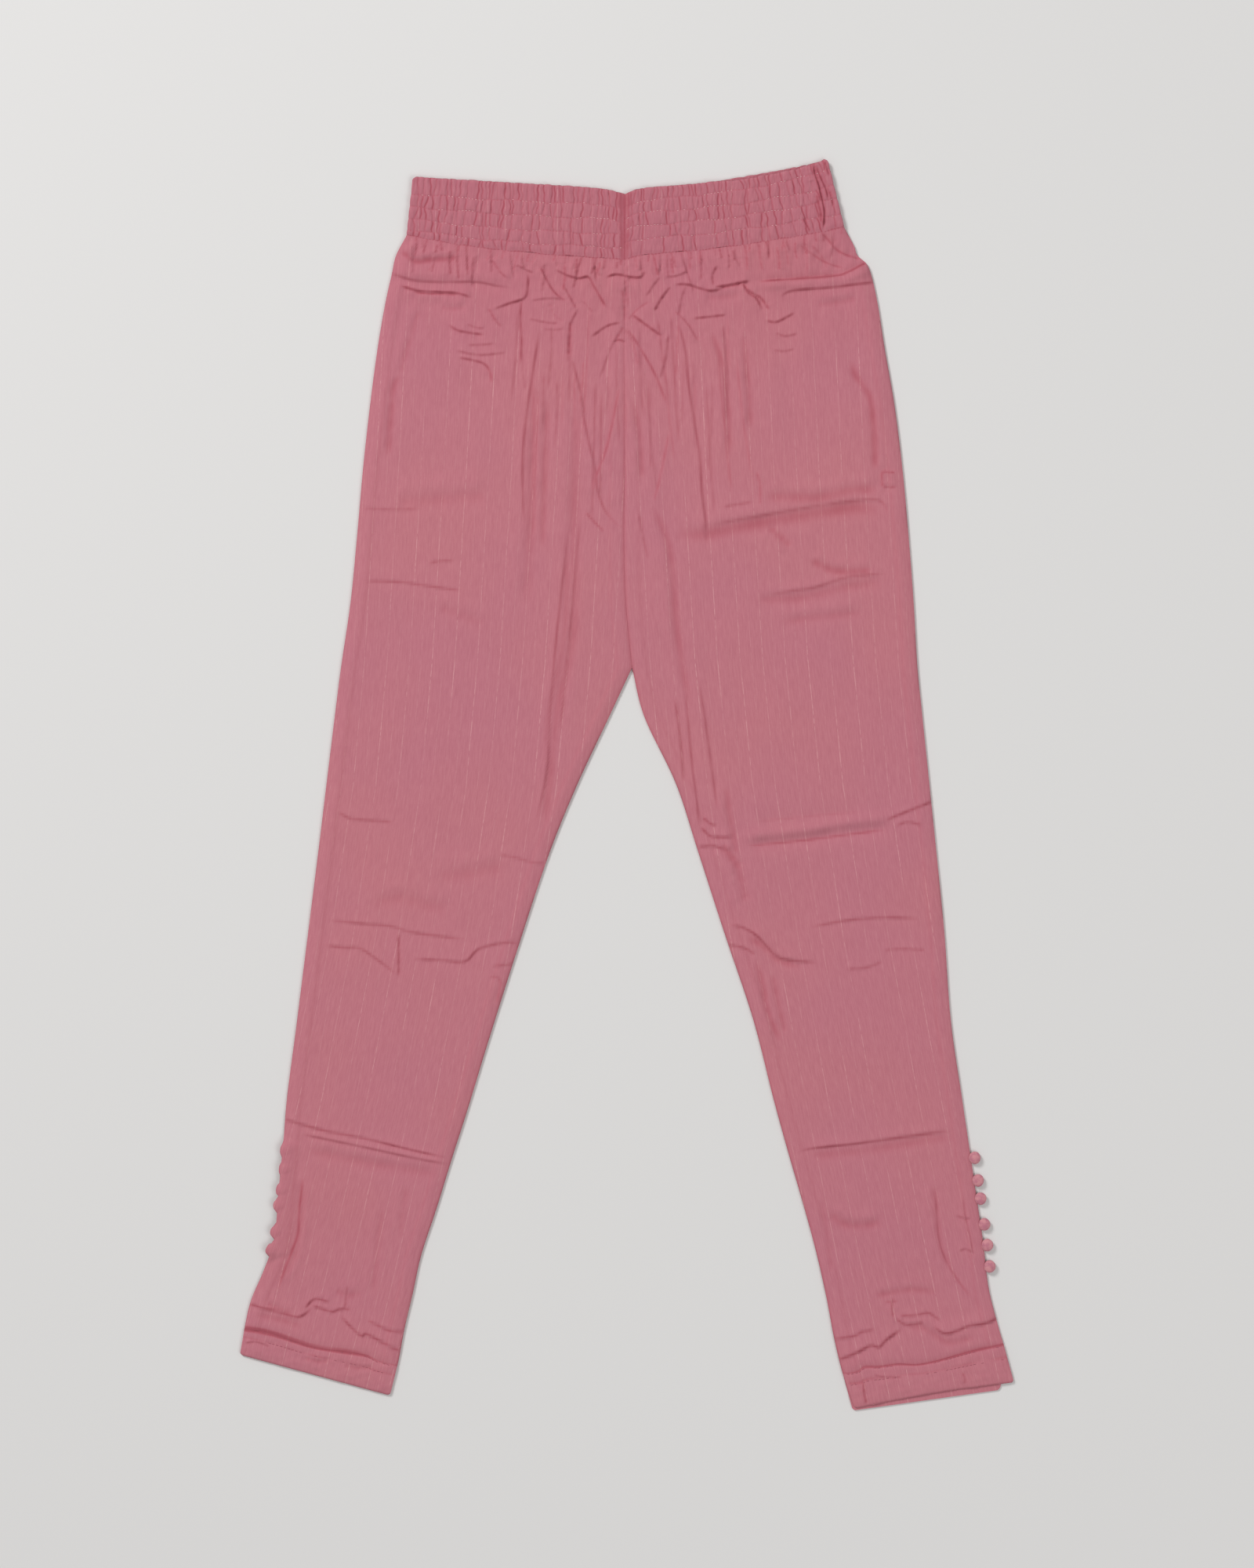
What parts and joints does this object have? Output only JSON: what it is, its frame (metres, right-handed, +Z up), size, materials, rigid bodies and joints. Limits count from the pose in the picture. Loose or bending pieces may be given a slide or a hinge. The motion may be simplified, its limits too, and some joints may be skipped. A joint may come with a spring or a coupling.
{
  "type": "churidar pants",
  "caption": "Straight tapering churidar pants laid flat, with a shirred elastic waistband, turned-up hems and cloth-covered buttons beside each ankle slit.",
  "frame": {"origin": "middle of the outline, on the surface that the pants lie on", "axes": "+Y from the hems towards the waistband, +X towards the leg whose buttons lie clear of the cloth, +Z up, out of the side that shows"},
  "size_m": [0.617, 0.998, 0.0082],
  "materials": {
    "pink_cotton": "slub cotton with a fine glinting stripe, soft sheen",
    "pink_waistband": "the same cotton, shirred over elastic",
    "pink_button": "ball buttons covered in the same cotton"
  },
  "bodies": {
    "root": {"front_left": "pink_cotton", "front_right": "pink_cotton", "back_left": "pink_cotton", "back_right": "pink_cotton", "hem_front_left": "pink_cotton", "hem_front_right": "pink_cotton", "hem_back_left": "pink_cotton", "hem_back_right": "pink_cotton", "waistband_front_left": "pink_waistband", "waistband_front_right": "pink_waistband", "waistband_back_left": "pink_waistband", "waistband_back_right": "pink_waistband", "button_left_1": "pink_button", "button_left_2": "pink_button", "button_left_3": "pink_button", "button_left_4": "pink_button", "button_left_5": "pink_button", "button_left_6": "pink_button", "button_right_1": "pink_button", "button_right_2": "pink_button", "button_right_3": "pink_button", "button_right_4": "pink_button", "button_right_5": "pink_button", "button_right_6": "pink_button"}
  },
  "joints": []
}
